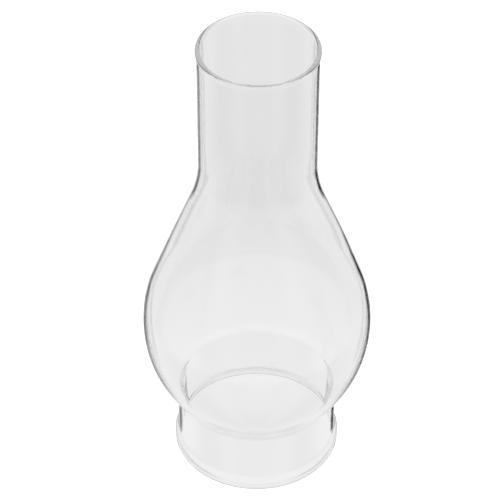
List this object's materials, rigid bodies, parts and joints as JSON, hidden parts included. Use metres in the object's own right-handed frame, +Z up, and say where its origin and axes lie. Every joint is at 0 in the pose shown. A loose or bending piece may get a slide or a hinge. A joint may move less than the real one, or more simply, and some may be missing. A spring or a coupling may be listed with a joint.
{
  "type": "glass lamp chimney",
  "caption": "Clear blown-glass oil lamp chimney with a short fitter base, pear-shaped bulb, straight taper and beaded tubular neck, open at both ends.",
  "frame": {"origin": "centre of the flat ring that the chimney stands on, on the axis of the flue", "axes": "+Z up the flue towards the beaded top, X and Y across it; the part is a body of revolution about Z"},
  "size_m": [0.099, 0.099, 0.216],
  "materials": {
    "glass": "clear, fire-polished"
  },
  "bodies": {
    "root": {"glass_chimney": "glass"}
  },
  "joints": []
}
